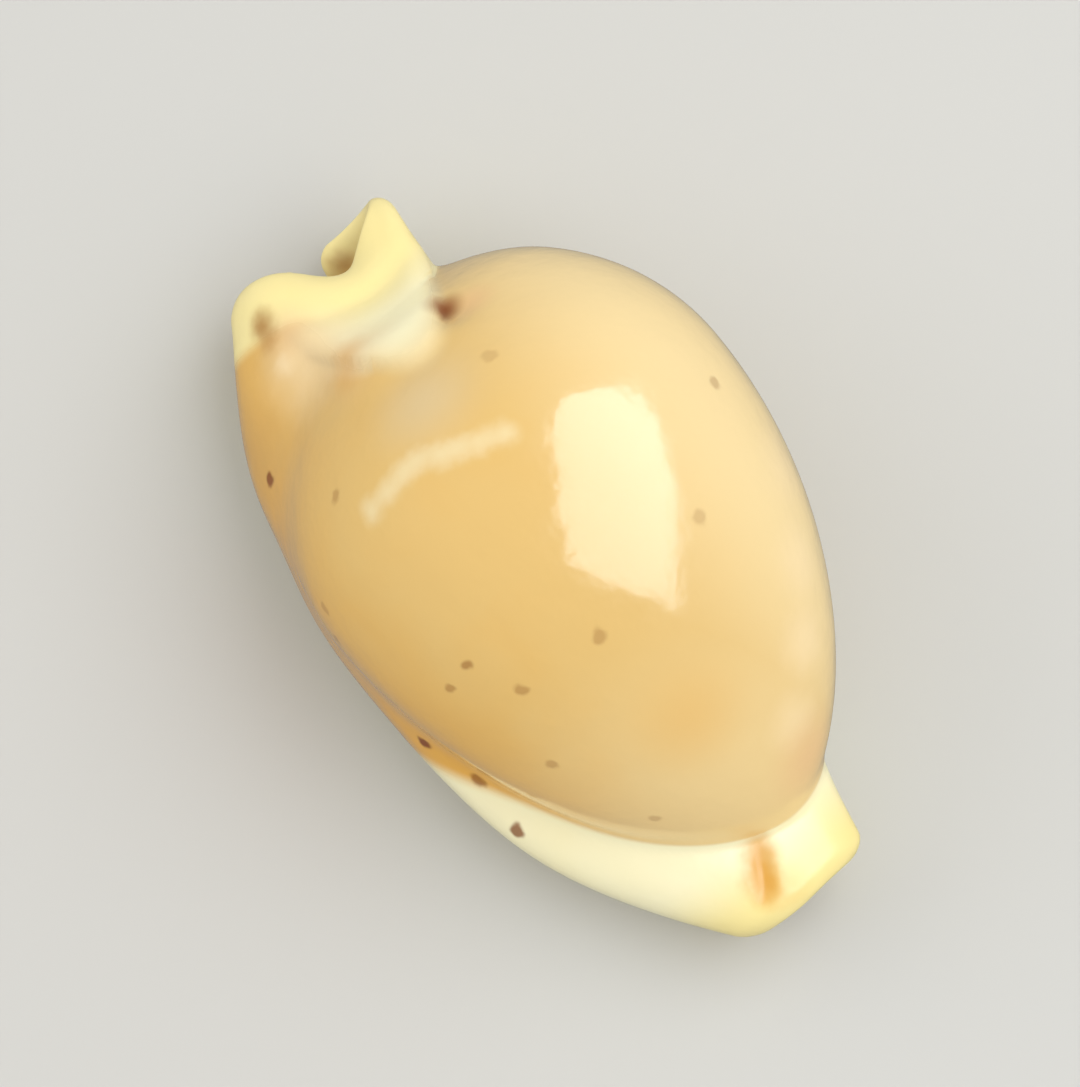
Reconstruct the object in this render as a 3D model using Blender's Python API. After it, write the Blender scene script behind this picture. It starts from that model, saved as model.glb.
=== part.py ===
# A small globular cowrie shell with beaked ends, lying on its base.
# The wall is one rolled sheet: it starts at the toothed outer lip, runs over the left side, the back and the
# right side, and ends at the toothed inner lip, so that a narrow slit runs along the base into the hollow.
# Frame: +Z up, +Y towards the hind (spire) end, +X towards the inner-lip side. All lengths are in millimetres
# until the mesh is written in metres, and all angles are in degrees: round a section, 0 points straight down,
# 90 to the outer-lip side, 180 up and 270 to the inner-lip side.

import math

import bmesh
import bpy
import numpy as np

METRES_PER_MM = 0.001

# The inflated back
LENGTH = 18.0
DOME_CENTRE_X = 0.4
DOME_CENTRE_Y = 1.4
DOME_CENTRE_Z = 4.6
DOME_HALF_WIDTH = 5.21
DOME_HALF_HEIGHT = 4.528
DOME_REACH_HIND = 5.81
DOME_REACH_FRONT = 9.0
DOME_DROP_HIND = 2.0
DOME_DROP_FRONT = 2.1

# How fast the back narrows and drops towards its ends: 0.5 is a true oval, and more is a longer slope
DOME_TAPER_FRONT = 0.66
DOME_SIDE_TAPER_LEFT = 0.75
DOME_SIDE_TAPER_RIGHT = 0.55
DOME_TOP_TAPER_LEFT = 0.85
DOME_TOP_TAPER_RIGHT = 0.54
MISS_FADE = 6.0
TAPER_BLEND = (-0.1, 0.9)  # from the left taper to the right one, by how far a direction points right

# The base, the margins, both beaks and the collar: half widths from the slit, and heights above and below the
# middle of the rolled sheet. Each pair is (y, value), from the front beak to the hind beak.
OUTER_LIP_EDGE = [
    (-9.0, 1.24), (-7.6, 2.19), (-5.0, 3.51), (-1.5, 4.2), (3.0, 4.16), (6.0, 3.63), (7.6, 2.81), (9.0, 1.9),
]
INNER_LIP_EDGE = [
    (-9.0, 1.9), (-7.6, 2.23), (-5.0, 3.07), (0.0, 3.9), (4.0, 3.5), (6.4, 2.0), (7.6, 1.85), (9.0, 2.0),
]
MARGIN_TOP = [
    (-9.0, 0.95), (-7.4, 1.25), (-4.0, 1.45), (0.0, 2.2), (3.0, 2.7), (5.5, 2.35), (7.6, 1.8), (9.0, 1.25),
]
BASE_DEPTH = [(-9.0, 1.25), (-7.0, 1.65), (-3.0, 2.13), (3.0, 2.17), (6.0, 1.88), (7.6, 1.6), (9.0, 1.35)]
BASE_SQUARENESS = 2.35
COLLAR_TOP = [(-9.0, 0.5), (0.0, 1.5), (3.5, 3.6), (5.0, 4.4), (6.4, 3.25), (7.6, 2.4), (9.0, 1.4)]
COLLAR_EDGE = [(-9.0, 0.5), (3.0, 1.0), (5.0, 1.4), (7.0, 1.78), (9.0, 1.7)]
COLLAR_DEPTH_SHARE = 0.85
COLLAR_SQUARENESS = 3.0
COLLAR_RIGHT_SHARE = 1.12
SHEET_CENTRE_Z = [(-9.0, 1.75), (-6.0, 1.95), (0.0, 2.2), (6.0, 2.2), (9.0, 2.35)]
SLIT_CENTRE_X = [(-9.0, -0.35), (-4.0, -0.55), (2.0, -0.4), (6.0, -0.1), (9.0, 0.1)]

# How wide a fillet joins the collar to the base, and the back to both of them
COLLAR_FILLET = 0.8
BACK_FILLET_SOFT = 1.3
BACK_FILLET_CRISP = 0.45
CRISP_FROM = (-1.5, 4.0)  # how far forward, or how far round to the right, the fillet turns crisp
CRISP_RIGHT_SHARE = 5

# Swellings and dents of the outer surface: y, angle, height, reach along y, reach in degrees
SPIRE_PIT = (5.05, 197, -0.35, 0.32, 4.5)
LEFT_SHOULDER = (6.85, 136, 0.22, 0.9, 16)
HIND_RIM_ROLL = (8.45, 190, 0.12, 0.38, 42)
HIND_RIM_HOLLOW = (7.65, 175, -0.1, 0.35, 40)
SWELLINGS = (SPIRE_PIT, LEFT_SHOULDER, HIND_RIM_ROLL, HIND_RIM_HOLLOW)

# The collar's folded front edge is a bow: y at its middle, x of its middle, bend
COLLAR_FOLD = (4.55, 0.15, 0.75)
FOLD_HEIGHT = 0.2
FOLD_SOFTNESS = 0.16
FOLD_FADE = (0.4, 2.2)
FOLD_REACH = (1.2, 1.8)
RELIEF_Z = (2.2, 2.8)  # the fold and the furrow start above these heights
RELIEF_SLOPE = (0.1, 0.7)  # and they fade out where the wall turns steep

# The furrow between the front beak and the outer margin starts at (x, y) and runs forward and outward
FURROW_START = (-0.43, -7.48)
FURROW_SLOPE = 0.52
FURROW_HALF_WIDTH = 0.25
FURROW_DEPTH = 0.1
FURROW_RISE = (0.3, 0.5)
FURROW_END = (8.2, 8.7)

# The slit and its teeth
SLIT_HALF_GAP = 0.62
SLIT_HALF_GAP_HIND = 0.45
SLIT_NARROWS = (6.5, 8.5)
SLIT_MOST_SHARE = 0.95  # the gap's half width never passes this share of the radius
LIP_ROUND = 0.32
TOOTH_COUNT = 22
TOOTH_HEIGHT = 0.13
TOOTH_REACH = 1.35
TEETH_FRONT_Y = -6.6
TEETH_HIND_Y = 6.2
TEETH_TOP_Z = (0.7, 1.6)
TEETH_END_FADE = (0.3, 0.6)

# Wall thickness
WALL_BACK = 0.6
WALL_BASE = 1.25
WALL_BEAK = 0.8
WALL_EAR_FOOT = 0.5
EAR_FOOT_ANGLES = (205, 245)
WALL_BEAK_FROM = (5.5, 8.0)
HOLLOW_LEAST_SHARE = 0.3  # the hollow keeps at least this share of the outer radius

# Rims of the two beaks. The hind rim has a saddle in its top, which leaves an ear beside it, and a short cut
# where the ear meets the slit. The front rim leans back on the side away from its tip.
HIND_NOTCH = 1.25
HIND_NOTCH_ANGLE = 196
HIND_NOTCH_WIDTH = 50
EAR_CUT = 0.05
EAR_CUT_ANGLES = (290, 340)
FRONT_LEAN = 0.11
FRONT_TIP_ANGLE = 161
BEND_START = 5.2

# Mesh density
COLUMNS_PER_SIDE = 30
LIP_COLUMNS = 3
BEAK_ROWS = 7
RIM_ROWS = 3
LIP_CROWDING = 1.6  # how much closer together the columns stand near the lips
MERGE_DISTANCE = 0.0005


def along(points, y):
    """Smooth curve through (y, value) pairs, read at y."""
    ys, values = zip(*points)
    slopes = np.gradient(values, ys)
    i = np.clip(np.searchsorted(ys, y) - 1, 0, len(ys) - 2)
    step = ys[i + 1] - ys[i]
    t = np.clip((y - ys[i]) / step, 0, 1)
    rise = (2 * t**3 - 3 * t**2 + 1) * values[i] + (3 * t**2 - 2 * t**3) * values[i + 1]
    return rise + step * ((t**3 - 2 * t**2 + t) * slopes[i] + (t**3 - t**2) * slopes[i + 1])


def smooth_step(low, high, value):
    t = np.clip((value - low) / (high - low), 0, 1)
    return t * t * (3 - 2 * t)


def smooth_max(first, second, fillet):
    """The larger of two radii, with a fillet where they cross."""
    near = np.maximum(fillet - np.abs(first - second), 0) / fillet
    return np.maximum(first, second) + near**2 * fillet / 4


def oval_radius(width, height, squareness, across, up):
    return ((np.abs(across) / width) ** squareness + (np.abs(up) / height) ** squareness) ** (-1 / squareness)


def base_radius(y, across, up):
    """Distance from the middle of the sheet to the base, margins and beaks, in the direction (across, up)."""
    width = np.where(across < 0, along(OUTER_LIP_EDGE, y), along(INNER_LIP_EDGE, y))
    height = np.where(up > 0, along(MARGIN_TOP, y), along(BASE_DEPTH, y))
    return oval_radius(width, height, BASE_SQUARENESS, across, up)


def collar_radius(y, across, up):
    """The thick collar that runs from the hind rim up on to the back."""
    width = along(COLLAR_EDGE, y) * np.where(across > 0, COLLAR_RIGHT_SHARE, 1.0)
    height = np.where(up > 0, along(COLLAR_TOP, y), COLLAR_DEPTH_SHARE * along(BASE_DEPTH, y))
    return oval_radius(width, height, COLLAR_SQUARENESS, across, up)


def dome_radius(y, across, up):
    """Distance from the middle of the sheet to the inflated back, fading to 0 where a ray misses it."""
    hind = y > DOME_CENTRE_Y
    t = abs(y - DOME_CENTRE_Y) / (DOME_REACH_HIND if hind else DOME_REACH_FRONT)
    if t >= 1:
        return np.zeros_like(across)
    side_taper = top_taper = DOME_TAPER_FRONT
    if hind:
        right = smooth_step(*TAPER_BLEND, across)
        side_taper = DOME_SIDE_TAPER_LEFT + (DOME_SIDE_TAPER_RIGHT - DOME_SIDE_TAPER_LEFT) * right
        top_taper = DOME_TOP_TAPER_LEFT + (DOME_TOP_TAPER_RIGHT - DOME_TOP_TAPER_LEFT) * right
    half_width = DOME_HALF_WIDTH * (1 - t**2) ** side_taper
    half_height = DOME_HALF_HEIGHT * (1 - t**2) ** top_taper
    drop = DOME_DROP_HIND if hind else DOME_DROP_FRONT
    offset_x = DOME_CENTRE_X - along(SLIT_CENTRE_X, y)
    offset_z = DOME_CENTRE_Z - drop * t**2 - along(SHEET_CENTRE_Z, y)
    a = (across / half_width) ** 2 + (up / half_height) ** 2
    b = across * offset_x / half_width**2 + up * offset_z / half_height**2
    c = (offset_x / half_width) ** 2 + (offset_z / half_height) ** 2 - 1
    under_root = b * b - a * c
    hit = b + np.sqrt(np.maximum(under_root, 0))
    miss = b * np.maximum(0, 1 + MISS_FADE * np.minimum(under_root, 0) / b**2)
    return (np.where(under_root > 0, hit, miss) / a).clip(0)


def outer_radius(y, angle):
    """Distance to the outer surface at an angle."""
    across, up = -np.sin(np.radians(angle)), -np.cos(np.radians(angle))
    crisp = smooth_step(*CRISP_FROM, np.maximum(-y, CRISP_RIGHT_SHARE * across))
    fillet = BACK_FILLET_SOFT + (BACK_FILLET_CRISP - BACK_FILLET_SOFT) * crisp
    body = smooth_max(base_radius(y, across, up), collar_radius(y, across, up), COLLAR_FILLET)
    radius = smooth_max(body, dome_radius(y, across, up), fillet)
    for middle_y, middle, height, reach_y, reach in SWELLINGS:
        away = ((y - middle_y) / reach_y) ** 2 + ((angle - middle) / reach) ** 2
        radius = radius + height * np.exp(-away)
    return radius


def wall(y, angle):
    """Wall thickness: thin over the back, thick at the base and the lips, thin again at the ear's foot."""
    down = ((1 + np.cos(np.radians(angle))) / 2) ** 1.5
    body = WALL_BACK + (WALL_BASE - WALL_BACK) * down
    ear_foot = smooth_step(*EAR_FOOT_ANGLES, angle) * (y > 0)
    beak = WALL_BEAK + (WALL_EAR_FOOT - WALL_BEAK) * ear_foot
    return body + (beak - body) * smooth_step(*WALL_BEAK_FROM, abs(y))


def spread(radius_at, first_angle, count):
    """Angles from lip to lip, evenly spaced along the section, and closer together near the lips."""
    angles = np.linspace(first_angle, 360 - first_angle, 361)
    radius = radius_at(angles)
    across, up = np.sin(np.radians(angles)) * radius, np.cos(np.radians(angles)) * radius
    step = np.hypot(np.diff(across), np.diff(up))
    middle = (angles[1:] + angles[:-1]) / 2
    lips = LIP_CROWDING * ((1 + np.cos(np.radians(middle))) / 2) ** 3
    run = np.concatenate([[0], np.cumsum(step * (1 + lips))])
    return np.interp(np.linspace(0, run[-1], count), run, angles)


def ring_y(y, angle):
    """The ring's own y at each angle: near the beaks the rings bend to follow the rims."""
    half = LENGTH / 2
    notch = HIND_NOTCH * np.exp(-(((angle - HIND_NOTCH_ANGLE) / HIND_NOTCH_WIDTH) ** 2))
    notch = notch + EAR_CUT * smooth_step(*EAR_CUT_ANGLES, angle)
    lean = FRONT_LEAN * (1 - np.cos(np.radians(angle - FRONT_TIP_ANGLE)))
    return y - smooth_step(BEND_START, half, y) * notch + smooth_step(BEND_START, half, -y) * lean


def section(y, closing):
    """One ring of points (x, y, z) round the wall. closing runs from 0 to 1 as a beak's rim rounds shut."""

    def outer_at(angles):
        return outer_radius(y, angles)

    def inner_at(angles):
        radius = outer_radius(y, angles)
        return np.maximum(radius - wall(y, angles), HOLLOW_LEAST_SHARE * radius)

    half_gap = SLIT_HALF_GAP + (SLIT_HALF_GAP_HIND - SLIT_HALF_GAP) * smooth_step(*SLIT_NARROWS, y)
    sides = []
    for radius_at in (outer_at, inner_at):
        radius_down = float(radius_at(np.array([0.0]))[0])
        first = math.degrees(math.asin(min(SLIT_MOST_SHARE, half_gap / radius_down)))
        angles = spread(radius_at, first, COLUMNS_PER_SIDE)
        radius = radius_at(angles)
        sides.append((angles, -np.sin(np.radians(angles)) * radius, -np.cos(np.radians(angles)) * radius))
    (angles, x_out, z_out), (_, x_in, z_in) = sides
    x_mid, z_mid = (x_out + x_in) / 2, (z_out + z_in) / 2
    open_share = math.sqrt(max(0.0, 1 - closing**2))
    y_ring = ring_y(y, angles)

    def face(x, z):
        return np.stack([x_mid + (x - x_mid) * open_share, y_ring, z_mid + (z - z_mid) * open_share], axis=1)

    def lip(toward_slit, end):
        """Rounded lip between the outer and the inner surface, bulging into the slit."""
        turn = np.linspace(0, math.pi, LIP_COLUMNS + 2)[1:-1]
        bulge = toward_slit * LIP_ROUND * open_share * np.sin(turn)
        x = x_mid[end] + (x_out[end] - x_mid[end]) * open_share * np.cos(turn) + bulge
        z = z_mid[end] + (z_out[end] - z_mid[end]) * open_share * np.cos(turn)
        return np.stack([x, np.full_like(x, y_ring[end]), z], axis=1)

    ring = np.concatenate([face(x_out, z_out), lip(-1, -1), face(x_in, z_in)[::-1], lip(1, 0)[::-1]])
    return ring + np.array([along(SLIT_CENTRE_X, y), 0, along(SHEET_CENTRE_Z, y)])


def stations():
    """(y, closing) of every ring, from the front rim to the hind rim, with two rings for each tooth."""
    half, rim = LENGTH / 2, WALL_BEAK / 2
    teeth = np.linspace(TEETH_FRONT_Y, TEETH_HIND_Y, 2 * TOOTH_COUNT + 1)
    front = np.linspace(-half + rim, TEETH_FRONT_Y, BEAK_ROWS + 1)[:-1]
    hind = np.linspace(TEETH_HIND_Y, half - rim, BEAK_ROWS + 1)[1:]
    rounding = np.sin(np.linspace(0, math.pi / 2, RIM_ROWS + 1)[1:])
    front_rim = [(-half + rim - rim * share, share) for share in rounding[::-1]]
    hind_rim = [(half - rim + rim * share, share) for share in rounding]
    return front_rim + [(y, 0.0) for y in (*front, *teeth, *hind)] + hind_rim


def tooth_lift(x, y, z):
    """Height of the teeth at a point: ridges across both lips, fading out over the base."""
    pitch = (TEETH_HIND_Y - TEETH_FRONT_Y) / TOOTH_COUNT
    wave = -math.cos(2 * math.pi * (y - TEETH_FRONT_Y) / pitch)
    from_slit = abs(x - along(SLIT_CENTRE_X, y))
    fade = 1 - smooth_step(0.5 * TOOTH_REACH, TOOTH_REACH, from_slit)
    low = 1 - smooth_step(*TEETH_TOP_Z, z)
    before, after = TEETH_END_FADE
    ends = smooth_step(TEETH_FRONT_Y - before, TEETH_FRONT_Y + after, y)
    ends = ends * smooth_step(-TEETH_HIND_Y - before, -TEETH_HIND_Y + after, -y)
    return TOOTH_HEIGHT * wave * fade * low * ends


def top_lift(x, y, z):
    """Height of the collar's folded edge, less the depth of the furrow beside the front beak, at a point."""
    fold_y, fold_x, bend = COLLAR_FOLD
    past = y - fold_y - bend * (x - fold_x) ** 2
    fold = smooth_step(-FOLD_SOFTNESS, FOLD_SOFTNESS, past) * (1 - smooth_step(*FOLD_FADE, past))
    fold = fold * (1 - smooth_step(*FOLD_REACH, fold_x - x))
    start_x, start_y = FURROW_START
    from_furrow = x - start_x - FURROW_SLOPE * (y - start_y)
    furrow = math.exp(-((from_furrow / FURROW_HALF_WIDTH) ** 2))
    before, after = FURROW_RISE
    furrow = furrow * smooth_step(-start_y - before, -start_y + after, -y)
    furrow = furrow * (1 - smooth_step(*FURROW_END, -y))
    return smooth_step(*RELIEF_Z, z) * (FOLD_HEIGHT * fold - FURROW_DEPTH * furrow)


def build_shell():
    rings = [section(y, closing) for y, closing in stations()]
    columns = len(rings[0])
    shell = bmesh.new()
    bmesh.ops.create_grid(shell, x_segments=columns, y_segments=len(rings) - 1, size=0.5)
    for vert in shell.verts:
        column = round((vert.co.x + 0.5) * columns) % columns
        row = round((vert.co.y + 0.5) * (len(rings) - 1))
        vert.co = rings[row][column]
    bmesh.ops.remove_doubles(shell, verts=shell.verts, dist=MERGE_DISTANCE)
    bmesh.ops.dissolve_degenerate(shell, edges=shell.edges, dist=MERGE_DISTANCE)
    bmesh.ops.recalc_face_normals(shell, faces=shell.faces)

    shell.normal_update()
    for vert in shell.verts:
        relief = top_lift(*vert.co) * smooth_step(*RELIEF_SLOPE, vert.normal.z)
        vert.co += vert.normal * (tooth_lift(*vert.co) + relief)
        vert.co.z = max(vert.co.z, 0)
    return shell


def finish(shell, name, colour, roughness):
    """Stands the mesh on z = 0, centred on its bounding box, and makes it an object in metres."""
    xs, ys, zs = zip(*(vert.co for vert in shell.verts))
    centre = ((min(xs) + max(xs)) / 2, (min(ys) + max(ys)) / 2, min(zs))
    bmesh.ops.translate(shell, verts=shell.verts, vec=[-value for value in centre])
    bmesh.ops.scale(shell, verts=shell.verts, vec=[METRES_PER_MM] * 3)
    bmesh.ops.triangulate(shell, faces=shell.faces)
    mesh = bpy.data.meshes.new(name)
    shell.to_mesh(mesh)
    shell.free()
    mesh.shade_smooth()
    material = bpy.data.materials.new(name)
    material.use_nodes = True
    surface = material.node_tree.nodes["Principled BSDF"]
    surface.inputs["Base Color"].default_value = (*colour, 1)
    surface.inputs["Roughness"].default_value = roughness
    surface.inputs["Metallic"].default_value = 0
    mesh.materials.append(material)
    obj = bpy.data.objects.new(name, mesh)
    bpy.context.scene.collection.objects.link(obj)
    return obj


for old in list(bpy.data.objects):
    bpy.data.objects.remove(old)
finish(build_shell(), "cowrie_shell", colour=(0.78, 0.52, 0.2), roughness=0.2)
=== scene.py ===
import math

import bmesh
import bpy
import numpy as np
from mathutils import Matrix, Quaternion, Vector


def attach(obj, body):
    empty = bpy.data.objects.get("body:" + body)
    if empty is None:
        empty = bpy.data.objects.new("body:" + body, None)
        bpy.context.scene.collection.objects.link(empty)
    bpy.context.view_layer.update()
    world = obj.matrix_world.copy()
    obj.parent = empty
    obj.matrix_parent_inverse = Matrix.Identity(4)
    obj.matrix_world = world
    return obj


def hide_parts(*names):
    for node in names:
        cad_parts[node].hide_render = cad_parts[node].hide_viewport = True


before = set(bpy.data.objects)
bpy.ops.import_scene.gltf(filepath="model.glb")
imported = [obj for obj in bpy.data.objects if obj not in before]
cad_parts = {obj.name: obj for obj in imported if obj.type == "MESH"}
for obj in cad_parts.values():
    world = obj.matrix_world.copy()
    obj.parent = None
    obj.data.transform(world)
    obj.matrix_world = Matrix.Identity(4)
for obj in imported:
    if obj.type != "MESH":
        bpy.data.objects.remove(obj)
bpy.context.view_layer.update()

mm = 0.001
print("frame loaded")

# the shell
# lengths in mm, angles in degrees; y runs from the front beak (-9) to the hind beak (+9)
# round a section, 0 points down at the slit, 90 to the outer lip side, 180 up, 270 to the inner lip side

shell = {
    "length": 18.0,
    "domeCentre": (0.4, 1.4, 4.6),
    "domeHalfWidth": 5.21,
    "domeHalfHeight": 4.528,
    "domeReach": (9.0, 5.81),  # front, hind
    "domeDrop": (2.1, 2.0),
    # how fast the back narrows and drops towards its ends: 0.5 is a true oval, and more is a longer slope
    "frontTaper": 0.66,
    "sideTaper": (0.75, 0.55),  # hind, outer lip side and inner lip side
    "topTaper": (0.85, 0.54),
    "taperBlend": (-0.1, 0.9),
    # pairs of y and value: half widths from the slit's middle, heights and depths from sheetCentreZ
    "outerLipEdge": [
        (-9.0, 1.24), (-7.6, 2.19), (-5.0, 3.51), (-1.5, 4.2),
        (3.0, 4.16), (6.0, 3.63), (7.6, 2.81), (9.0, 1.9),
    ],
    "innerLipEdge": [
        (-9.0, 1.9), (-7.6, 2.23), (-5.0, 3.07), (0.0, 3.9),
        (4.0, 3.5), (6.4, 2.0), (7.6, 1.85), (9.0, 2.0),
    ],
    "marginTop": [
        (-9.0, 0.95), (-7.4, 1.25), (-4.0, 1.45), (0.0, 2.2),
        (3.0, 2.7), (5.5, 2.35), (7.6, 1.8), (9.0, 1.25),
    ],
    "baseDepth": [
        (-9.0, 1.25), (-7.0, 1.65), (-3.0, 2.13), (3.0, 2.17),
        (6.0, 1.88), (7.6, 1.6), (9.0, 1.35),
    ],
    "baseSquareness": 2.35,
    "collarTop": [(-9.0, 0.5), (0.0, 1.5), (3.5, 3.6), (5.0, 4.4), (6.4, 3.25), (7.6, 2.4), (9.0, 1.4)],
    "collarEdge": [(-9.0, 0.5), (3.0, 1.0), (5.0, 1.4), (7.0, 1.78), (9.0, 1.7)],
    "collarDepthShare": 0.85,
    "collarSquareness": 3.0,
    "collarRightShare": 1.12,
    "sheetCentreZ": [(-9.0, 1.75), (-6.0, 1.95), (0.0, 2.2), (6.0, 2.2), (9.0, 2.35)],
    "slitCentreX": [(-9.0, -0.35), (-4.0, -0.55), (2.0, -0.4), (6.0, -0.1), (9.0, 0.1)],
    "collarFillet": 0.8,
    "backFillet": (1.3, 0.45),  # soft, crisp
    "crispFrom": (-1.5, 4.0),  # how far forward, or how far round to the right, the fillet turns crisp
    "crispRightShare": 5,
    # dents and swellings: y, angle, height, reach along y, reach in degrees
    "swellings": [
        (5.05, 197, -0.35, 0.32, 4.5),  # spire pit
        (6.85, 136, 0.22, 0.9, 16),  # shoulder beside the collar
        (8.45, 190, 0.12, 0.38, 42),  # rolled hind rim
        (7.65, 175, -0.1, 0.35, 40),  # hollow behind the rim
    ],
    "collarFold": (4.55, 0.15, 0.75),  # the collar's front edge: y at its middle, x of its middle, bend
    "foldHeight": 0.2,
    "foldSoftness": 0.16,
    "foldFade": (0.4, 2.2),
    "foldReach": (1.2, 1.8),
    "reliefZ": (2.2, 2.8),  # the fold and the furrow start above these heights
    "reliefSlope": (0.1, 0.7),  # the fold and the furrow fade out where the wall turns steep
    "furrowStart": (-0.43, -7.48),  # beside the front beak
    "furrowSlope": 0.52,
    "furrowHalfWidth": 0.25,
    "furrowDepth": 0.1,
    "furrowRise": (0.3, 0.5),
    "furrowEnd": (8.2, 8.7),
    "slitHalfGap": (0.62, 0.45),  # along the base, at the hind beak
    "slitNarrows": (6.5, 8.5),
    "slitMostShare": 0.95,  # the gap's half width never passes this share of the radius
    "lipRound": 0.32,
    "toothCount": 22,
    "toothHeight": 0.15,
    "toothReach": 1.35,
    "teethFrontY": -6.6,
    "teethHindY": 6.2,
    "teethTopZ": (0.7, 1.6),
    "teethEndFade": (0.3, 0.6),
    "wallBack": 0.6,
    "wallBase": 1.25,
    "wallBeak": 0.8,
    "wallEarFoot": 0.5,
    "earFootAngles": (205, 245),
    "wallBeakFrom": (5.5, 8.0),
    "hollowLeastShare": 0.3,  # the hollow keeps at least this share of the outer radius
    "missFade": 6.0,  # how fast the back fades beside a direction that misses it
    "hindNotch": 1.25,
    "hindNotchAngle": 196,
    "hindNotchWidth": 50,
    "earCut": 0.05,
    "earCutAngles": (290, 340),
    "frontLean": 0.11,
    "frontTipAngle": 161,
    "bendStart": 5.2,
    "columns": 150,  # per side of the wall
    "lipColumns": 8,
    "rowsPerTooth": 6,
    "beakRows": 30,
    "rimRows": 8,
    "lipCrowding": 1.6,  # how much closer together the columns stand near the lips
    "mergeDistance": 0.0002,
}


def alongCurve(points, y):  # smooth curve through (y, value) pairs
    ys, values = zip(*points)
    slopes = np.gradient(values, ys)
    i = np.clip(np.searchsorted(ys, y) - 1, 0, len(ys) - 2)
    step = ys[i + 1] - ys[i]
    t = np.clip((y - ys[i]) / step, 0, 1)
    rise = (2 * t**3 - 3 * t**2 + 1) * values[i] + (3 * t**2 - 2 * t**3) * values[i + 1]
    return rise + step * ((t**3 - 2 * t**2 + t) * slopes[i] + (t**3 - t**2) * slopes[i + 1])


def smoothStep(low, high, value):
    t = np.clip((value - low) / (high - low), 0, 1)
    return t * t * (3 - 2 * t)


def smoothMax(first, second, fillet):  # the larger of two radii, with a fillet where they cross
    near = np.maximum(fillet - np.abs(first - second), 0) / fillet
    return np.maximum(first, second) + near**2 * fillet / 4


def ovalRadius(width, height, squareness, across, up):
    return ((np.abs(across) / width) ** squareness + (np.abs(up) / height) ** squareness) ** (-1 / squareness)


def baseRadius(s, y, across, up):  # base, margins and beaks
    width = np.where(across < 0, alongCurve(s["outerLipEdge"], y), alongCurve(s["innerLipEdge"], y))
    height = np.where(up > 0, alongCurve(s["marginTop"], y), alongCurve(s["baseDepth"], y))
    return ovalRadius(width, height, s["baseSquareness"], across, up)


def collarRadius(s, y, across, up):  # thick collar from the hind rim up on to the back
    width = alongCurve(s["collarEdge"], y) * np.where(across > 0, s["collarRightShare"], 1.0)
    depth = s["collarDepthShare"] * alongCurve(s["baseDepth"], y)
    height = np.where(up > 0, alongCurve(s["collarTop"], y), depth)
    return ovalRadius(width, height, s["collarSquareness"], across, up)


def domeRadius(s, y, across, up):  # inflated back
    centreX, centreY, centreZ = s["domeCentre"]
    hind = int(y > centreY)
    t = abs(y - centreY) / s["domeReach"][hind]
    if t >= 1:
        return np.zeros_like(across)
    sideTaper = topTaper = s["frontTaper"]
    if hind:
        right = smoothStep(*s["taperBlend"], across)
        sideTaper = s["sideTaper"][0] + (s["sideTaper"][1] - s["sideTaper"][0]) * right
        topTaper = s["topTaper"][0] + (s["topTaper"][1] - s["topTaper"][0]) * right
    halfWidth = s["domeHalfWidth"] * (1 - t**2) ** sideTaper
    halfHeight = s["domeHalfHeight"] * (1 - t**2) ** topTaper
    offX = centreX - alongCurve(s["slitCentreX"], y)
    offZ = centreZ - s["domeDrop"][hind] * t**2 - alongCurve(s["sheetCentreZ"], y)
    a = (across / halfWidth) ** 2 + (up / halfHeight) ** 2
    b = across * offX / halfWidth**2 + up * offZ / halfHeight**2
    c = (offX / halfWidth) ** 2 + (offZ / halfHeight) ** 2 - 1
    root = b * b - a * c
    hit = b + np.sqrt(np.maximum(root, 0))
    miss = b * np.maximum(0, 1 + s["missFade"] * np.minimum(root, 0) / b**2)
    return (np.where(root > 0, hit, miss) / a).clip(0)


def outerRadius(s, y, angle):
    across, up = -np.sin(np.radians(angle)), -np.cos(np.radians(angle))
    soft, crisp = s["backFillet"]
    turn = np.maximum(-y, s["crispRightShare"] * across)
    fillet = soft + (crisp - soft) * smoothStep(*s["crispFrom"], turn)
    body = smoothMax(baseRadius(s, y, across, up), collarRadius(s, y, across, up), s["collarFillet"])
    radius = smoothMax(body, domeRadius(s, y, across, up), fillet)
    for middleY, middle, height, reachY, reach in s["swellings"]:
        radius = radius + height * np.exp(-(((y - middleY) / reachY) ** 2) - ((angle - middle) / reach) ** 2)
    return radius


def backRatio(s, y, angle):  # above 1 on the inflated back, below 1 on the margins, beaks and base
    across, up = -np.sin(np.radians(angle)), -np.cos(np.radians(angle))
    rest = np.maximum(baseRadius(s, y, across, up), collarRadius(s, y, across, up))
    return domeRadius(s, y, across, up) / rest


def wallAt(s, y, angle):
    down = ((1 + np.cos(np.radians(angle))) / 2) ** 1.5
    body = s["wallBack"] + (s["wallBase"] - s["wallBack"]) * down
    earFoot = smoothStep(*s["earFootAngles"], angle) * (y > 0)
    beak = s["wallBeak"] + (s["wallEarFoot"] - s["wallBeak"]) * earFoot
    return body + (beak - body) * smoothStep(*s["wallBeakFrom"], abs(y))


def angleShares(s):  # 0 to 1 from lip to lip, even along the widest section, and closer near the lips
    angles = np.linspace(0, 360, 721)
    radius = outerRadius(s, s["domeCentre"][1], angles)
    x, z = np.sin(np.radians(angles)) * radius, np.cos(np.radians(angles)) * radius
    middle = np.radians(angles[1:] + angles[:-1]) / 2
    lips = s["lipCrowding"] * ((1 + np.cos(middle)) / 2) ** 3
    run = np.concatenate([[0], np.cumsum(np.hypot(np.diff(x), np.diff(z)) * (1 + lips))])
    return np.interp(np.linspace(0, run[-1], s["columns"]), run, angles / 360)


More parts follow.
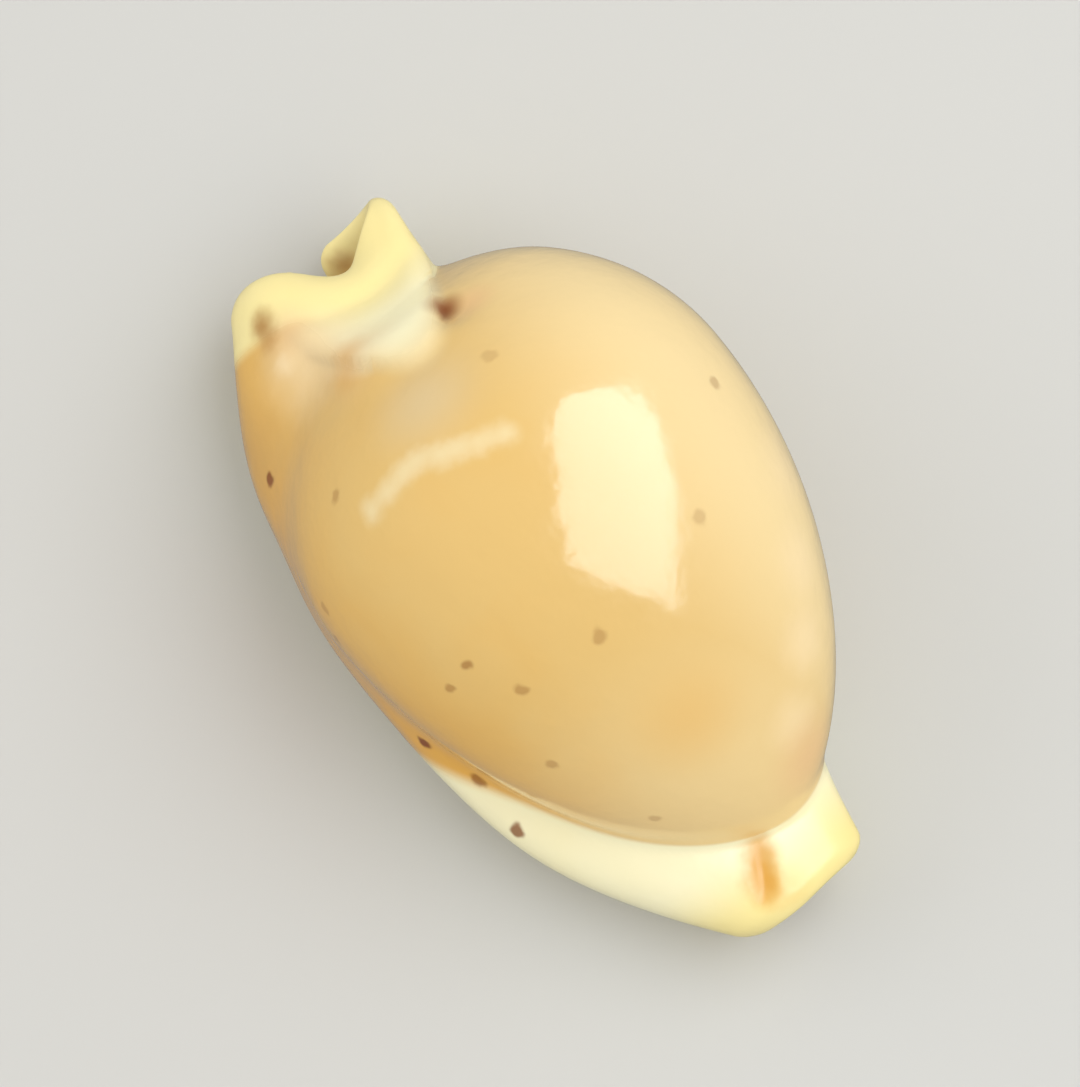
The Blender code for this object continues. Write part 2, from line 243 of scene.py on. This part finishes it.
def ringY(s, y, angle):  # near the beaks the rings bend to follow the rims
    half = s["length"] / 2
    notch = s["hindNotch"] * np.exp(-(((angle - s["hindNotchAngle"]) / s["hindNotchWidth"]) ** 2))
    notch = notch + s["earCut"] * smoothStep(*s["earCutAngles"], angle)
    lean = s["frontLean"] * (1 - np.cos(np.radians(angle - s["frontTipAngle"])))
    return y - smoothStep(s["bendStart"], half, y) * notch + smoothStep(s["bendStart"], half, -y) * lean


def ringAt(s, y, closing, shares):  # points round the wall: x, y, z, back ratio, share of the inside
    def outer(angles):
        return outerRadius(s, y, angles)

    def inner(angles):
        radius = outer(angles)
        return np.maximum(radius - wallAt(s, y, angles), s["hollowLeastShare"] * radius)

    wide, narrow = s["slitHalfGap"]
    halfGap = wide + (narrow - wide) * smoothStep(*s["slitNarrows"], y)
    sides = []
    for radiusAt in (outer, inner):
        radiusDown = float(radiusAt(np.array([0.0]))[0])
        first = math.degrees(math.asin(min(s["slitMostShare"], halfGap / radiusDown)))
        angles = first + (360 - 2 * first) * shares
        radius = radiusAt(angles)
        sides.append((angles, -np.sin(np.radians(angles)) * radius, -np.cos(np.radians(angles)) * radius))
    (angles, xOut, zOut), (_, xIn, zIn) = sides
    xMid, zMid = (xOut + xIn) / 2, (zOut + zIn) / 2
    openShare = math.sqrt(max(0.0, 1 - closing**2))
    yRing = ringY(s, y, angles)
    back = backRatio(s, y, angles)

    def face(x, z, inside):
        x, z = xMid + (x - xMid) * openShare, zMid + (z - zMid) * openShare
        return np.stack([x, yRing, z, back, np.full_like(x, inside * openShare)], axis=1)

    def lip(toSlit, end):
        turn = np.linspace(0, math.pi, s["lipColumns"] + 2)[1:-1]
        x = xMid[end] + (xOut[end] - xMid[end]) * openShare * np.cos(turn)
        x = x + toSlit * s["lipRound"] * openShare * np.sin(turn)
        z = zMid[end] + (zOut[end] - zMid[end]) * openShare * np.cos(turn)
        yLip, inside = np.full_like(x, yRing[end]), openShare * turn / math.pi
        return np.stack([x, yLip, z, np.zeros_like(x), inside], axis=1)

    ring = np.concatenate([face(xOut, zOut, 0), lip(-1, -1), face(xIn, zIn, 1)[::-1], lip(1, 0)[::-1]])
    return ring + np.array([alongCurve(s["slitCentreX"], y), 0, alongCurve(s["sheetCentreZ"], y), 0, 0])


def stationsOf(s):
    half, rim = s["length"] / 2, s["wallBeak"] / 2
    teeth = np.linspace(s["teethFrontY"], s["teethHindY"], s["rowsPerTooth"] * s["toothCount"] + 1)
    front = np.linspace(-half + rim, s["teethFrontY"], s["beakRows"] + 1)[:-1]
    hind = np.linspace(s["teethHindY"], half - rim, s["beakRows"] + 1)[1:]
    shares = np.sin(np.linspace(0, math.pi / 2, s["rimRows"] + 1)[1:])
    frontRim = [(-half + rim - rim * share, share) for share in shares[::-1]]
    hindRim = [(half - rim + rim * share, share) for share in shares]
    return frontRim + [(y, 0.0) for y in (*front, *teeth, *hind)] + hindRim


def toothLift(s, x, y, z):  # ridges across both lips, fading out over the base
    pitch = (s["teethHindY"] - s["teethFrontY"]) / s["toothCount"]
    wave = -math.cos(2 * math.pi * (y - s["teethFrontY"]) / pitch)
    reach = s["toothReach"]
    fade = 1 - smoothStep(0.5 * reach, reach, abs(x - alongCurve(s["slitCentreX"], y)))
    low = 1 - smoothStep(*s["teethTopZ"], z)
    before, after = s["teethEndFade"]
    ends = smoothStep(s["teethFrontY"] - before, s["teethFrontY"] + after, y)
    ends = ends * smoothStep(-s["teethHindY"] - before, -s["teethHindY"] + after, -y)
    return s["toothHeight"] * wave * fade * low * ends


def topLift(s, x, y, z):  # the collar's folded edge, less the furrow beside the front beak
    foldY, foldX, bend = s["collarFold"]
    past = y - foldY - bend * (x - foldX) ** 2
    fold = smoothStep(-s["foldSoftness"], s["foldSoftness"], past) * (1 - smoothStep(*s["foldFade"], past))
    fold = fold * (1 - smoothStep(*s["foldReach"], foldX - x))
    startX, startY = s["furrowStart"]
    away = x - startX - s["furrowSlope"] * (y - startY)
    furrow = math.exp(-((away / s["furrowHalfWidth"]) ** 2))
    before, after = s["furrowRise"]
    furrow = furrow * smoothStep(-startY - before, -startY + after, -y)
    furrow = furrow * (1 - smoothStep(*s["furrowEnd"], -y))
    return smoothStep(*s["reliefZ"], z) * (s["foldHeight"] * fold - s["furrowDepth"] * furrow)


def makeShell(s):
    stations = stationsOf(s)
    shares = angleShares(s)
    rings = [ringAt(s, y, closing, shares) for y, closing in stations]
    columns, rows = len(rings[0]), len(rings) - 1
    bm = bmesh.new()
    backLayer = bm.verts.layers.float.new("back")
    insideLayer = bm.verts.layers.float.new("inside")
    stationLayer = bm.verts.layers.float.new("station")
    bmesh.ops.create_grid(bm, x_segments=columns, y_segments=rows, size=0.5)
    for v in bm.verts:  # roll the flat grid round the wall
        row = round((v.co.y + 0.5) * rows)
        x, y, z, back, inside = rings[row][round((v.co.x + 0.5) * columns) % columns]
        v.co = (x, y, z)
        v[backLayer] = back
        v[insideLayer] = inside
        v[stationLayer] = stations[row][0]
    bmesh.ops.remove_doubles(bm, verts=bm.verts, dist=s["mergeDistance"])
    bmesh.ops.dissolve_degenerate(bm, edges=bm.edges, dist=s["mergeDistance"])
    bmesh.ops.recalc_face_normals(bm, faces=bm.faces)
    bm.normal_update()
    for v in bm.verts:
        if v.co.z < s["teethTopZ"][1]:
            v.co += v.normal * toothLift(s, *v.co)
        elif v.co.z > s["reliefZ"][0]:
            v.co += v.normal * topLift(s, *v.co) * smoothStep(*s["reliefSlope"], v.normal.z)
        v.co.z = max(v.co.z, 0)  # small flat spots where it rests
    xs, ys, zs = zip(*(v.co for v in bm.verts))
    centre = Vector(((min(xs) + max(xs)) / 2, (min(ys) + max(ys)) / 2, min(zs)))
    bmesh.ops.translate(bm, verts=bm.verts, vec=-centre)
    bmesh.ops.scale(bm, verts=bm.verts, vec=(mm, mm, mm))
    for f in bm.faces:
        f.smooth = True
    mesh = bpy.data.meshes.new("cowrieShell")
    bm.to_mesh(mesh)
    bm.free()
    obj = bpy.data.objects.new("cowrieShell", mesh)
    bpy.context.collection.objects.link(obj)
    return obj


cowrieShell = makeShell(shell)
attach(cowrieShell, "root")
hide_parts("cowrie_shell")
print("shell made,", len(cowrieShell.data.polygons), "faces")


# shader maths

class Wire:  # wraps a node socket, so that shader maths reads as Python
    def __init__(self, tree, socket):
        self.tree, self.socket = tree, socket

    def node(self, kind, settings=None, inputs=None, out=0):
        n = self.tree.nodes.new(kind)
        for key, value in (settings or {}).items():
            setattr(n, key, value)
        for key, value in (inputs or {}).items():
            if isinstance(value, Wire):
                self.tree.links.new(value.socket, n.inputs[key])
            else:
                n.inputs[key].default_value = value
        return Wire(self.tree, n.outputs[out])

    def maths(self, operation, a, b=None):
        inputs = {0: a} if b is None else {0: a, 1: b}
        return self.node("ShaderNodeMath", {"operation": operation}, inputs)

    def __add__(self, other):
        return self.maths("ADD", self, other)

    def __sub__(self, other):
        return self.maths("SUBTRACT", self, other)

    def __rsub__(self, other):
        return self.maths("SUBTRACT", other, self)

    def __mul__(self, other):
        return self.maths("MULTIPLY", self, other)

    __radd__, __rmul__ = __add__, __mul__

    def step(self, low, high):  # 0 below low, 1 above high, smooth between
        ends = {"Value": self, "From Min": low, "From Max": high, "To Min": 0.0, "To Max": 1.0}
        return self.node("ShaderNodeMapRange", {"interpolation_type": "SMOOTHSTEP"}, ends)

    def mix(self, first, second):  # self is the share of the second colour
        both = [c if isinstance(c, Wire) else (*c, 1) for c in (first, second)]
        return self.node("ShaderNodeMix", {"data_type": "RGBA"}, {0: self, 6: both[0], 7: both[1]}, out=2)

    def nearTo(self, place, reach):  # self is a position in mm; 1 at the place, 0 beyond its reach
        away = self.node("ShaderNodeVectorMath", {"operation": "DISTANCE"}, {0: self, 1: place}, out="Value")
        return 1 - away.step(0.0, reach)

    def noise(self, scale, detail=2.0, distortion=0.0, out=0):
        inputs = {"Vector": self, "Scale": scale, "Detail": detail, "Distortion": distortion}
        return self.node("ShaderNodeTexNoise", {}, inputs, out)


def linear(red, green, blue):  # from 0-255 screen values
    return tuple(((c / 255 + 0.055) / 1.055) ** 2.4 for c in (red, green, blue))


# the glaze, with painted light and shade among its colours
# places in mm, in the shell's own coordinates

glazeAndPaintedLight = {
    "back": linear(231, 194, 122),
    "backDeep": linear(236, 176, 72),
    "backPale": linear(250, 226, 172),
    "grey": linear(226, 204, 160),
    "cream": linear(255, 250, 214),
    "creamYellow": linear(255, 237, 160),
    "pink": linear(238, 190, 140),
    "shoulder": linear(255, 230, 184),
    "inside": linear(250, 214, 136),
    "spot": linear(138, 72, 16),
    "orangeStainAndShade": linear(228, 162, 48),
    "umberStainAndShade": linear(176, 118, 50),
    "paintedShadeTan": linear(198, 160, 104),
    "pitUmberAndShade": linear(140, 76, 38),
    # place, reach, strength
    "spots": [
        ((-4.05, 5.17, 3.56), 0.36, 0.9),
        ((-4.94, -1.3, 3.06), 0.36, 1.0),
        ((-4.55, -2.63, 3.07), 0.34, 0.7),
        ((-4.54, -3.95, 2.66), 0.34, 0.85),
        ((-3.47, 3.46, 7.05), 0.3, 0.35),
        ((-3.57, -1.1, 7.38), 0.26, 0.55),
        ((-4.1, -1.18, 6.77), 0.26, 0.45),
        ((-3.0, -2.21, 7.32), 0.3, 0.4),
        ((-1.11, -2.4, 8.08), 0.32, 0.35),
        ((-3.35, -3.68, 5.88), 0.3, 0.35),
        ((-2.25, -5.75, 4.53), 0.26, 0.3),
        ((4.19, 0.37, 7.22), 0.3, 0.35),
        ((2.05, -1.76, 8.1), 0.34, 0.25),
        ((0.75, 3.58, 8.3), 0.34, 0.2),
        ((-5.17, 1.35, 4.91), 0.32, 0.35),
        ((-5.0, 1.93, 5.65), 0.28, 0.3),
    ],
    # orange in the furrow beside the front beak and beside the collar: partly stain, partly painted shade of
    # these hollows
    "orangeStainsAndShade": [
        ((-1.44, 5.75, 6.15), 0.9, 0.4),
        ((-0.82, -7.48, 3.05), 0.6, 0.7),
        ((-0.98, -7.79, 2.94), 0.65, 0.8),
        ((-1.14, -8.1, 2.85), 0.65, 0.8),
        ((-1.23, -8.4, 2.79), 0.55, 0.5),
        ((-0.79, -8.47, 2.87), 0.8, 0.3),
    ],
    # brown in the groove by the hind rim and in the hind canal's hollow: partly stain, partly painted shade
    "umberStainsAndShade": [
        ((-2.12, 7.9, 3.78), 0.6, 0.8),
        ((-2.24, 7.5, 3.9), 0.5, 0.4),
        ((0.34, 8.27, 1.26), 0.6, 0.8),
    ],
    # painted shade: a darker band low on the left beside the hind beak
    "paintedShades": [
        ((-3.9, 5.9, 3.2), 1.8, 0.5),
    ],
    # brown painted in the spire pit: partly its colour, partly painted shade in the dent
    "pit": ((0.84, 5.25, 6.42), 0.62, 0.95),
    # a painted reflection: a pale line across the back, as places along it
    "paintedReflectionLine": [
        (-3.12, 2.63, 7.91), (-2.68, 2.64, 8.18), (-2.23, 2.73, 8.35), (-1.82, 2.71, 8.52),
        (-1.4, 2.51, 8.74), (-1.03, 2.31, 8.89), (-0.57, 2.16, 9.0), (-0.13, 1.96, 9.07),
    ],
    "paleTintsAndHighlights": [
        ((-2.0, 6.7, 4.9), 1.9, 0.75),
        # painted highlight: the window's glint on the shoulder
        ((-2.33, 6.83, 4.33), 0.4, 0.7),
        # painted reflection: a bright streak down the right side, in four places
        ((4.3, -1.7, 6.0), 1.3, 0.4),
        ((3.39, -3.52, 6.03), 1.2, 0.5),
        ((2.46, -4.87, 5.59), 1.1, 0.55),
        ((1.31, -6.01, 5.01), 1.0, 0.5),
    ],
    "pinks": [
        ((-1.87, 7.38, 4.28), 0.9, 0.3),
        ((-1.3, 5.7, 6.2), 1.5, 0.35),
        ((1.33, 5.01, 6.84), 0.8, 0.5),
        ((1.2, -6.7, 4.0), 1.5, 0.5),
    ],
    # ranges over which a tint comes or goes, in mm along x, y, z or the shell's length, and its share
    # painted shade: the back turns deeper orange towards the left and low, the side turned away from the
    # lamps
    "leftShadeX": (-5.4, -0.5),
    "leftShadeZ": (3.0, 8.6),
    "leftShadeShare": 0.85,
    "mottleShare": 0.6,
    "frontPaleY": (-6.5, -2.0),
    "frontPaleShare": 0.55,
    # painted light: the back turns pale towards the right, the lit side
    "rightLightX": (-0.5, 4.0),
    "rightLightShare": 0.9,
    "orangePatch": ((-0.59, -4.78, 6.53), 1.8, 0.3),
    "greyPatch": ((-0.87, 3.7, 8.13), 1.8, 0.7),
    "yellowMottle": 0.3,
    "hindYellowFrom": (6.0, 8.2),
    "hindYellowShare": 0.7,
    "frontYellowFrom": (-8.6, -7.0),
    "frontYellowShare": 0.8,
    "marginRatio": (0.93, 1.07),  # the back ratio at which the pale margin gives way to the back
    # the margin is narrower low on the left
    "narrowX": (-3.2, -2.0),
    "narrowY": (-5.0, 2.0),
    "narrowZ": (0.7, 2.0),
    "narrowing": 0.45,
    "moved": -0.37,  # how far centring moves the finished shell along x
    "collarFrom": (-0.5, 0.9),
    # the shoulder beside the collar keeps the colour of the back
    "shoulderX": (-2.0, -1.0),
    "shoulderY": (4.5, 6.0),
    "shoulderZ": (1.6, 2.6),
    "shoulderEnd": (7.6, 8.0),
    "insideFrom": (0.3, 0.9),
    "insideHindEnd": (7.4, 8.8),
    "insideFrontEnd": (-8.9, -8.3),
    "reflectionLineReach": 0.48,
    "reflectionLineShare": 0.4,
    "spotCore": (0.8, 0.7),  # share of the reach that is brown, and how soft its edge is
    "mottle": (0.35, 3.0, 0.4),  # scale, detail, distortion
    "fineGrain": (1.6, 3.0),
    "raggedScale": 2.2,
    "raggedness": 0.3,
    "roughness": 0.16,
    "marginRoughness": 0.2,  # what the pale parts have more than the back
    "grainRoughness": 0.05,
    "coat": 0.35,
    "marginCoatLoss": 0.25,
    "coatRoughness": 0.06,
    "ior": 1.36,
    "rippleGrain": (0.8, 3.0),
    "ripple": {"Strength": 0.9, "Distance": 0.05 * mm},
}

material = bpy.data.materials.new("shellGlazeAndPaintedLight")
material.use_nodes = True
tree = material.node_tree
surface = tree.nodes["Principled BSDF"]
start = Wire(tree, None)
place = start.node("ShaderNodeTexCoord", out="Object")
place = start.node("ShaderNodeVectorMath", {"operation": "SCALE"}, {0: place, "Scale": 1 / mm})
back = start.node("ShaderNodeAttribute", {"attribute_name": "back"}, out="Fac")
inside = start.node("ShaderNodeAttribute", {"attribute_name": "inside"}, out="Fac")
station = start.node("ShaderNodeAttribute", {"attribute_name": "station"}, out="Fac")
xyz = tree.nodes.new("ShaderNodeSeparateXYZ")
tree.links.new(place.socket, xyz.inputs[0])
px, py, pz = (Wire(tree, xyz.outputs[i]) for i in range(3))

mottle = place.noise(*glazeAndPaintedLight["mottle"])
fine = place.noise(*glazeAndPaintedLight["fineGrain"])
# painted shade: deeper orange to the left and low, away from the lamps, plus random mottle
paintedShadeLeft = (1 - px.step(*glazeAndPaintedLight["leftShadeX"])) * (1 - pz.step(*glazeAndPaintedLight["leftShadeZ"]))
deepToneAndShade = paintedShadeLeft * glazeAndPaintedLight["leftShadeShare"] + (mottle - 0.5) * glazeAndPaintedLight["mottleShare"]
backColour = deepToneAndShade.mix(glazeAndPaintedLight["back"], glazeAndPaintedLight["backDeep"])
frontPale = (1 - py.step(*glazeAndPaintedLight["frontPaleY"])) * glazeAndPaintedLight["frontPaleShare"]
# painted light: paler towards the right, where the lamps fall
rightPaintedLight = px.step(*glazeAndPaintedLight["rightLightX"]) * glazeAndPaintedLight["rightLightShare"]
backColour = px.maths("MAXIMUM", rightPaintedLight, frontPale).mix(backColour, glazeAndPaintedLight["backPale"])
for patch, tint in (("orangePatch", "backDeep"), ("greyPatch", "grey")):
    where, reach, strength = glazeAndPaintedLight[patch]
    backColour = (place.nearTo(where, reach) * strength).mix(backColour, glazeAndPaintedLight[tint])

# the pale parts: front margin and beak, a thin line at the left, the collar and the rolled hind rim
hindYellow = station.step(*glazeAndPaintedLight["hindYellowFrom"]) * glazeAndPaintedLight["hindYellowShare"]
frontYellow = (1 - station.step(*glazeAndPaintedLight["frontYellowFrom"])) * glazeAndPaintedLight["frontYellowShare"]
yellow = mottle * glazeAndPaintedLight["yellowMottle"] + hindYellow + frontYellow
paleColour = yellow.mix(glazeAndPaintedLight["cream"], glazeAndPaintedLight["creamYellow"])
narrow = (1 - px.step(*glazeAndPaintedLight["narrowX"])) * py.step(*glazeAndPaintedLight["narrowY"]) * pz.step(*glazeAndPaintedLight["narrowZ"])
pale = 1 - (back + narrow * glazeAndPaintedLight["narrowing"]).step(*glazeAndPaintedLight["marginRatio"])
foldY, foldX, bend = shell["collarFold"]
fromFold = px - (foldX + glazeAndPaintedLight["moved"])
collar = (py - foldY - fromFold * fromFold * bend).step(*glazeAndPaintedLight["collarFrom"])
shoulder = (1 - px.step(*glazeAndPaintedLight["shoulderX"])) * py.step(*glazeAndPaintedLight["shoulderY"])
shoulder = shoulder * pz.step(*glazeAndPaintedLight["shoulderZ"]) * (1 - station.step(*glazeAndPaintedLight["shoulderEnd"]))
pale = pale.maths("MAXIMUM", pale, collar) * (1 - shoulder)
colour = pale.mix(backColour, paleColour)

# the same places, shaken a little, so that the spots come out uneven
shake = place.noise(glazeAndPaintedLight["raggedScale"], out="Color")
shake = start.node("ShaderNodeVectorMath", {"operation": "SCALE"}, {0: shake, "Scale": glazeAndPaintedLight["raggedness"]})
ragged = start.node("ShaderNodeVectorMath", {"operation": "ADD"}, {0: place, 1: shake})
half = (glazeAndPaintedLight["raggedness"] / 2,) * 3
ragged = start.node("ShaderNodeVectorMath", {"operation": "SUBTRACT"}, {0: ragged, 1: half})
# pale tints, and painted highlights and reflections, all in the shoulder colour
for where, reach, strength in glazeAndPaintedLight["paleTintsAndHighlights"]:
    colour = (ragged.nearTo(where, reach) * strength).mix(colour, glazeAndPaintedLight["shoulder"])
for where, reach, strength in glazeAndPaintedLight["pinks"]:
    colour = (place.nearTo(where, reach) * strength).mix(colour, glazeAndPaintedLight["pink"])
# painted reflection: a pale line across the back
for where in glazeAndPaintedLight["paintedReflectionLine"]:
    colour = (ragged.nearTo(where, glazeAndPaintedLight["reflectionLineReach"]) * glazeAndPaintedLight["reflectionLineShare"]).mix(colour, glazeAndPaintedLight["cream"])
# painted shade on the left, then orange and brown that are partly stain and partly painted shade
for places, tint in (("paintedShades", "paintedShadeTan"), ("orangeStainsAndShade", "orangeStainAndShade"), ("umberStainsAndShade", "umberStainAndShade")):
    for where, reach, strength in glazeAndPaintedLight[places]:
        colour = (ragged.nearTo(where, reach) * strength).mix(colour, glazeAndPaintedLight[tint])
coreShare, softness = glazeAndPaintedLight["spotCore"]
for where, reach, strength in glazeAndPaintedLight["spots"]:
    core = ragged.nearTo(where, reach * coreShare).step(0.0, softness)
    colour = (core * strength).mix(colour, glazeAndPaintedLight["spot"])
# the spire pit: brown that is partly its colour and partly painted shade
where, reach, strength = glazeAndPaintedLight["pit"]
colour = (place.nearTo(where, reach) * strength).mix(colour, glazeAndPaintedLight["pitUmberAndShade"])
deep = inside.step(*glazeAndPaintedLight["insideFrom"]) * (1 - station.step(*glazeAndPaintedLight["insideHindEnd"]))
deep = deep * station.step(*glazeAndPaintedLight["insideFrontEnd"])
colour = deep.mix(colour, glazeAndPaintedLight["inside"])

tree.links.new(colour.socket, surface.inputs["Base Color"])
rough = (fine - 0.5) * glazeAndPaintedLight["grainRoughness"] + pale * glazeAndPaintedLight["marginRoughness"] + glazeAndPaintedLight["roughness"]
tree.links.new(rough.socket, surface.inputs["Roughness"])
coat = glazeAndPaintedLight["coat"] - pale * glazeAndPaintedLight["marginCoatLoss"]
tree.links.new(coat.socket, surface.inputs["Coat Weight"])
bump = start.node("ShaderNodeBump", {}, {**glazeAndPaintedLight["ripple"], "Height": place.noise(*glazeAndPaintedLight["rippleGrain"])})
tree.links.new(bump.socket, surface.inputs["Normal"])
surface.inputs["Coat Roughness"].default_value = glazeAndPaintedLight["coatRoughness"]
surface.inputs["IOR"].default_value = glazeAndPaintedLight["ior"]
surface.inputs["Coat IOR"].default_value = glazeAndPaintedLight["ior"]
cowrieShell.data.materials.append(material)
print("glaze made")


# floor, lamps and camera

stage = {
    "floorWidth": 800 * mm,
    "floorColour": linear(202, 201, 198),
    "floorRoughness": 0.7,
    "worldColour": linear(244, 243, 240),
    "worldStrength": 0.79,
    "reflectedStrength": 0.3,  # the glaze mirrors a dimmer room, which keeps its colours deep
}

bm = bmesh.new()
bmesh.ops.create_grid(bm, x_segments=8, y_segments=8, size=stage["floorWidth"] / 2)
floorMesh = bpy.data.meshes.new("floor")
bm.to_mesh(floorMesh)
bm.free()
floor = bpy.data.objects.new("floor", floorMesh)
bpy.context.collection.objects.link(floor)
floorMaterial = bpy.data.materials.new("floorPaint")
floorMaterial.use_nodes = True
floorSurface = floorMaterial.node_tree.nodes["Principled BSDF"]
floorSurface.inputs["Base Color"].default_value = (*stage["floorColour"], 1)
floorSurface.inputs["Roughness"].default_value = stage["floorRoughness"]
floorMesh.materials.append(floorMaterial)
floor.visible_glossy = False

world = bpy.data.worlds.new("softRoom")
world.use_nodes = True
air = Wire(world.node_tree, None)
mirrored = air.node("ShaderNodeLightPath", out="Is Glossy Ray")
airColour = (*stage["worldColour"], 1)
around, reflected = (
    air.node("ShaderNodeBackground", {}, {"Color": airColour, "Strength": stage[strength]})
    for strength in ("worldStrength", "reflectedStrength")
)
room = air.node("ShaderNodeMixShader", {}, {0: mirrored, 1: around, 2: reflected})
world.node_tree.links.new(room.socket, world.node_tree.nodes["World Output"].inputs["Surface"])
bpy.context.scene.world = world
bpy.context.scene.view_settings.view_transform = "Standard"

# azimuths and elevations in degrees, lengths in mm, power in watts
camera = {
    "azimuth": -38.5,
    "elevation": 80.0,
    "distance": 130.0,
    "frameWidth": 23.29,
    "target": (-0.27, 0.63, 2.5),
    "sensorWidth": 36,
    "clipStart": 5.0,
}


def towards(azimuth, elevation):  # unit vector from the shell to a viewer or lamp
    a, e = math.radians(azimuth), math.radians(elevation)
    return Vector((math.sin(a) * math.cos(e), -math.cos(a) * math.cos(e), math.sin(e)))


lamps = {
    "window": {
        "from": (62, 60), "distance": 300, "size": (400, 260), "turn": 0,
        "power": 0.5, "colour": (1.0, 0.98, 0.95), "seenIn": "surfaces",
    },
    "windowGlint": {
        "from": (62, 59), "distance": 285, "size": (380, 225), "turn": -12,
        "power": 2.1, "colour": (0.8, 0.97, 1.05), "seenIn": "gloss",
    },
    "fill": {
        "from": (-138, 32), "distance": 300, "size": (300, 200), "turn": 0,
        "power": 0.19, "colour": (1.0, 0.97, 0.92), "seenIn": "surfaces",
    },
}
lampsLookAt = Vector((0, 0, 5))

for name, settings in lamps.items():
    lamp = bpy.data.lights.new(name, "AREA")
    lamp.shape = "RECTANGLE"
    lamp.size, lamp.size_y = (length * mm for length in settings["size"])
    lamp.energy = settings["power"]
    lamp.color = settings["colour"]
    obj = bpy.data.objects.new(name, lamp)
    bpy.context.collection.objects.link(obj)
    obj.visible_glossy = settings["seenIn"] == "gloss"
    obj.visible_diffuse = settings["seenIn"] == "surfaces"
    away = towards(*settings["from"])
    obj.location = (away * settings["distance"] + lampsLookAt) * mm
    obj.rotation_mode = "QUATERNION"
    turn = Quaternion((0, 0, 1), math.radians(settings["turn"]))
    obj.rotation_quaternion = away.to_track_quat("Z", "Y") @ turn

lens = bpy.data.cameras.new("camera")
lens.sensor_fit = "HORIZONTAL"
lens.sensor_width = camera["sensorWidth"]
lens.lens = camera["sensorWidth"] * camera["distance"] / camera["frameWidth"]
lens.clip_start = camera["clipStart"] * mm
view = bpy.data.objects.new("camera", lens)
bpy.context.collection.objects.link(view)
away = towards(camera["azimuth"], camera["elevation"])
view.location = (Vector(camera["target"]) + away * camera["distance"]) * mm
view.rotation_euler = away.to_track_quat("Z", "Y").to_euler()
bpy.context.scene.camera = view
print("floor, lamps and camera placed")
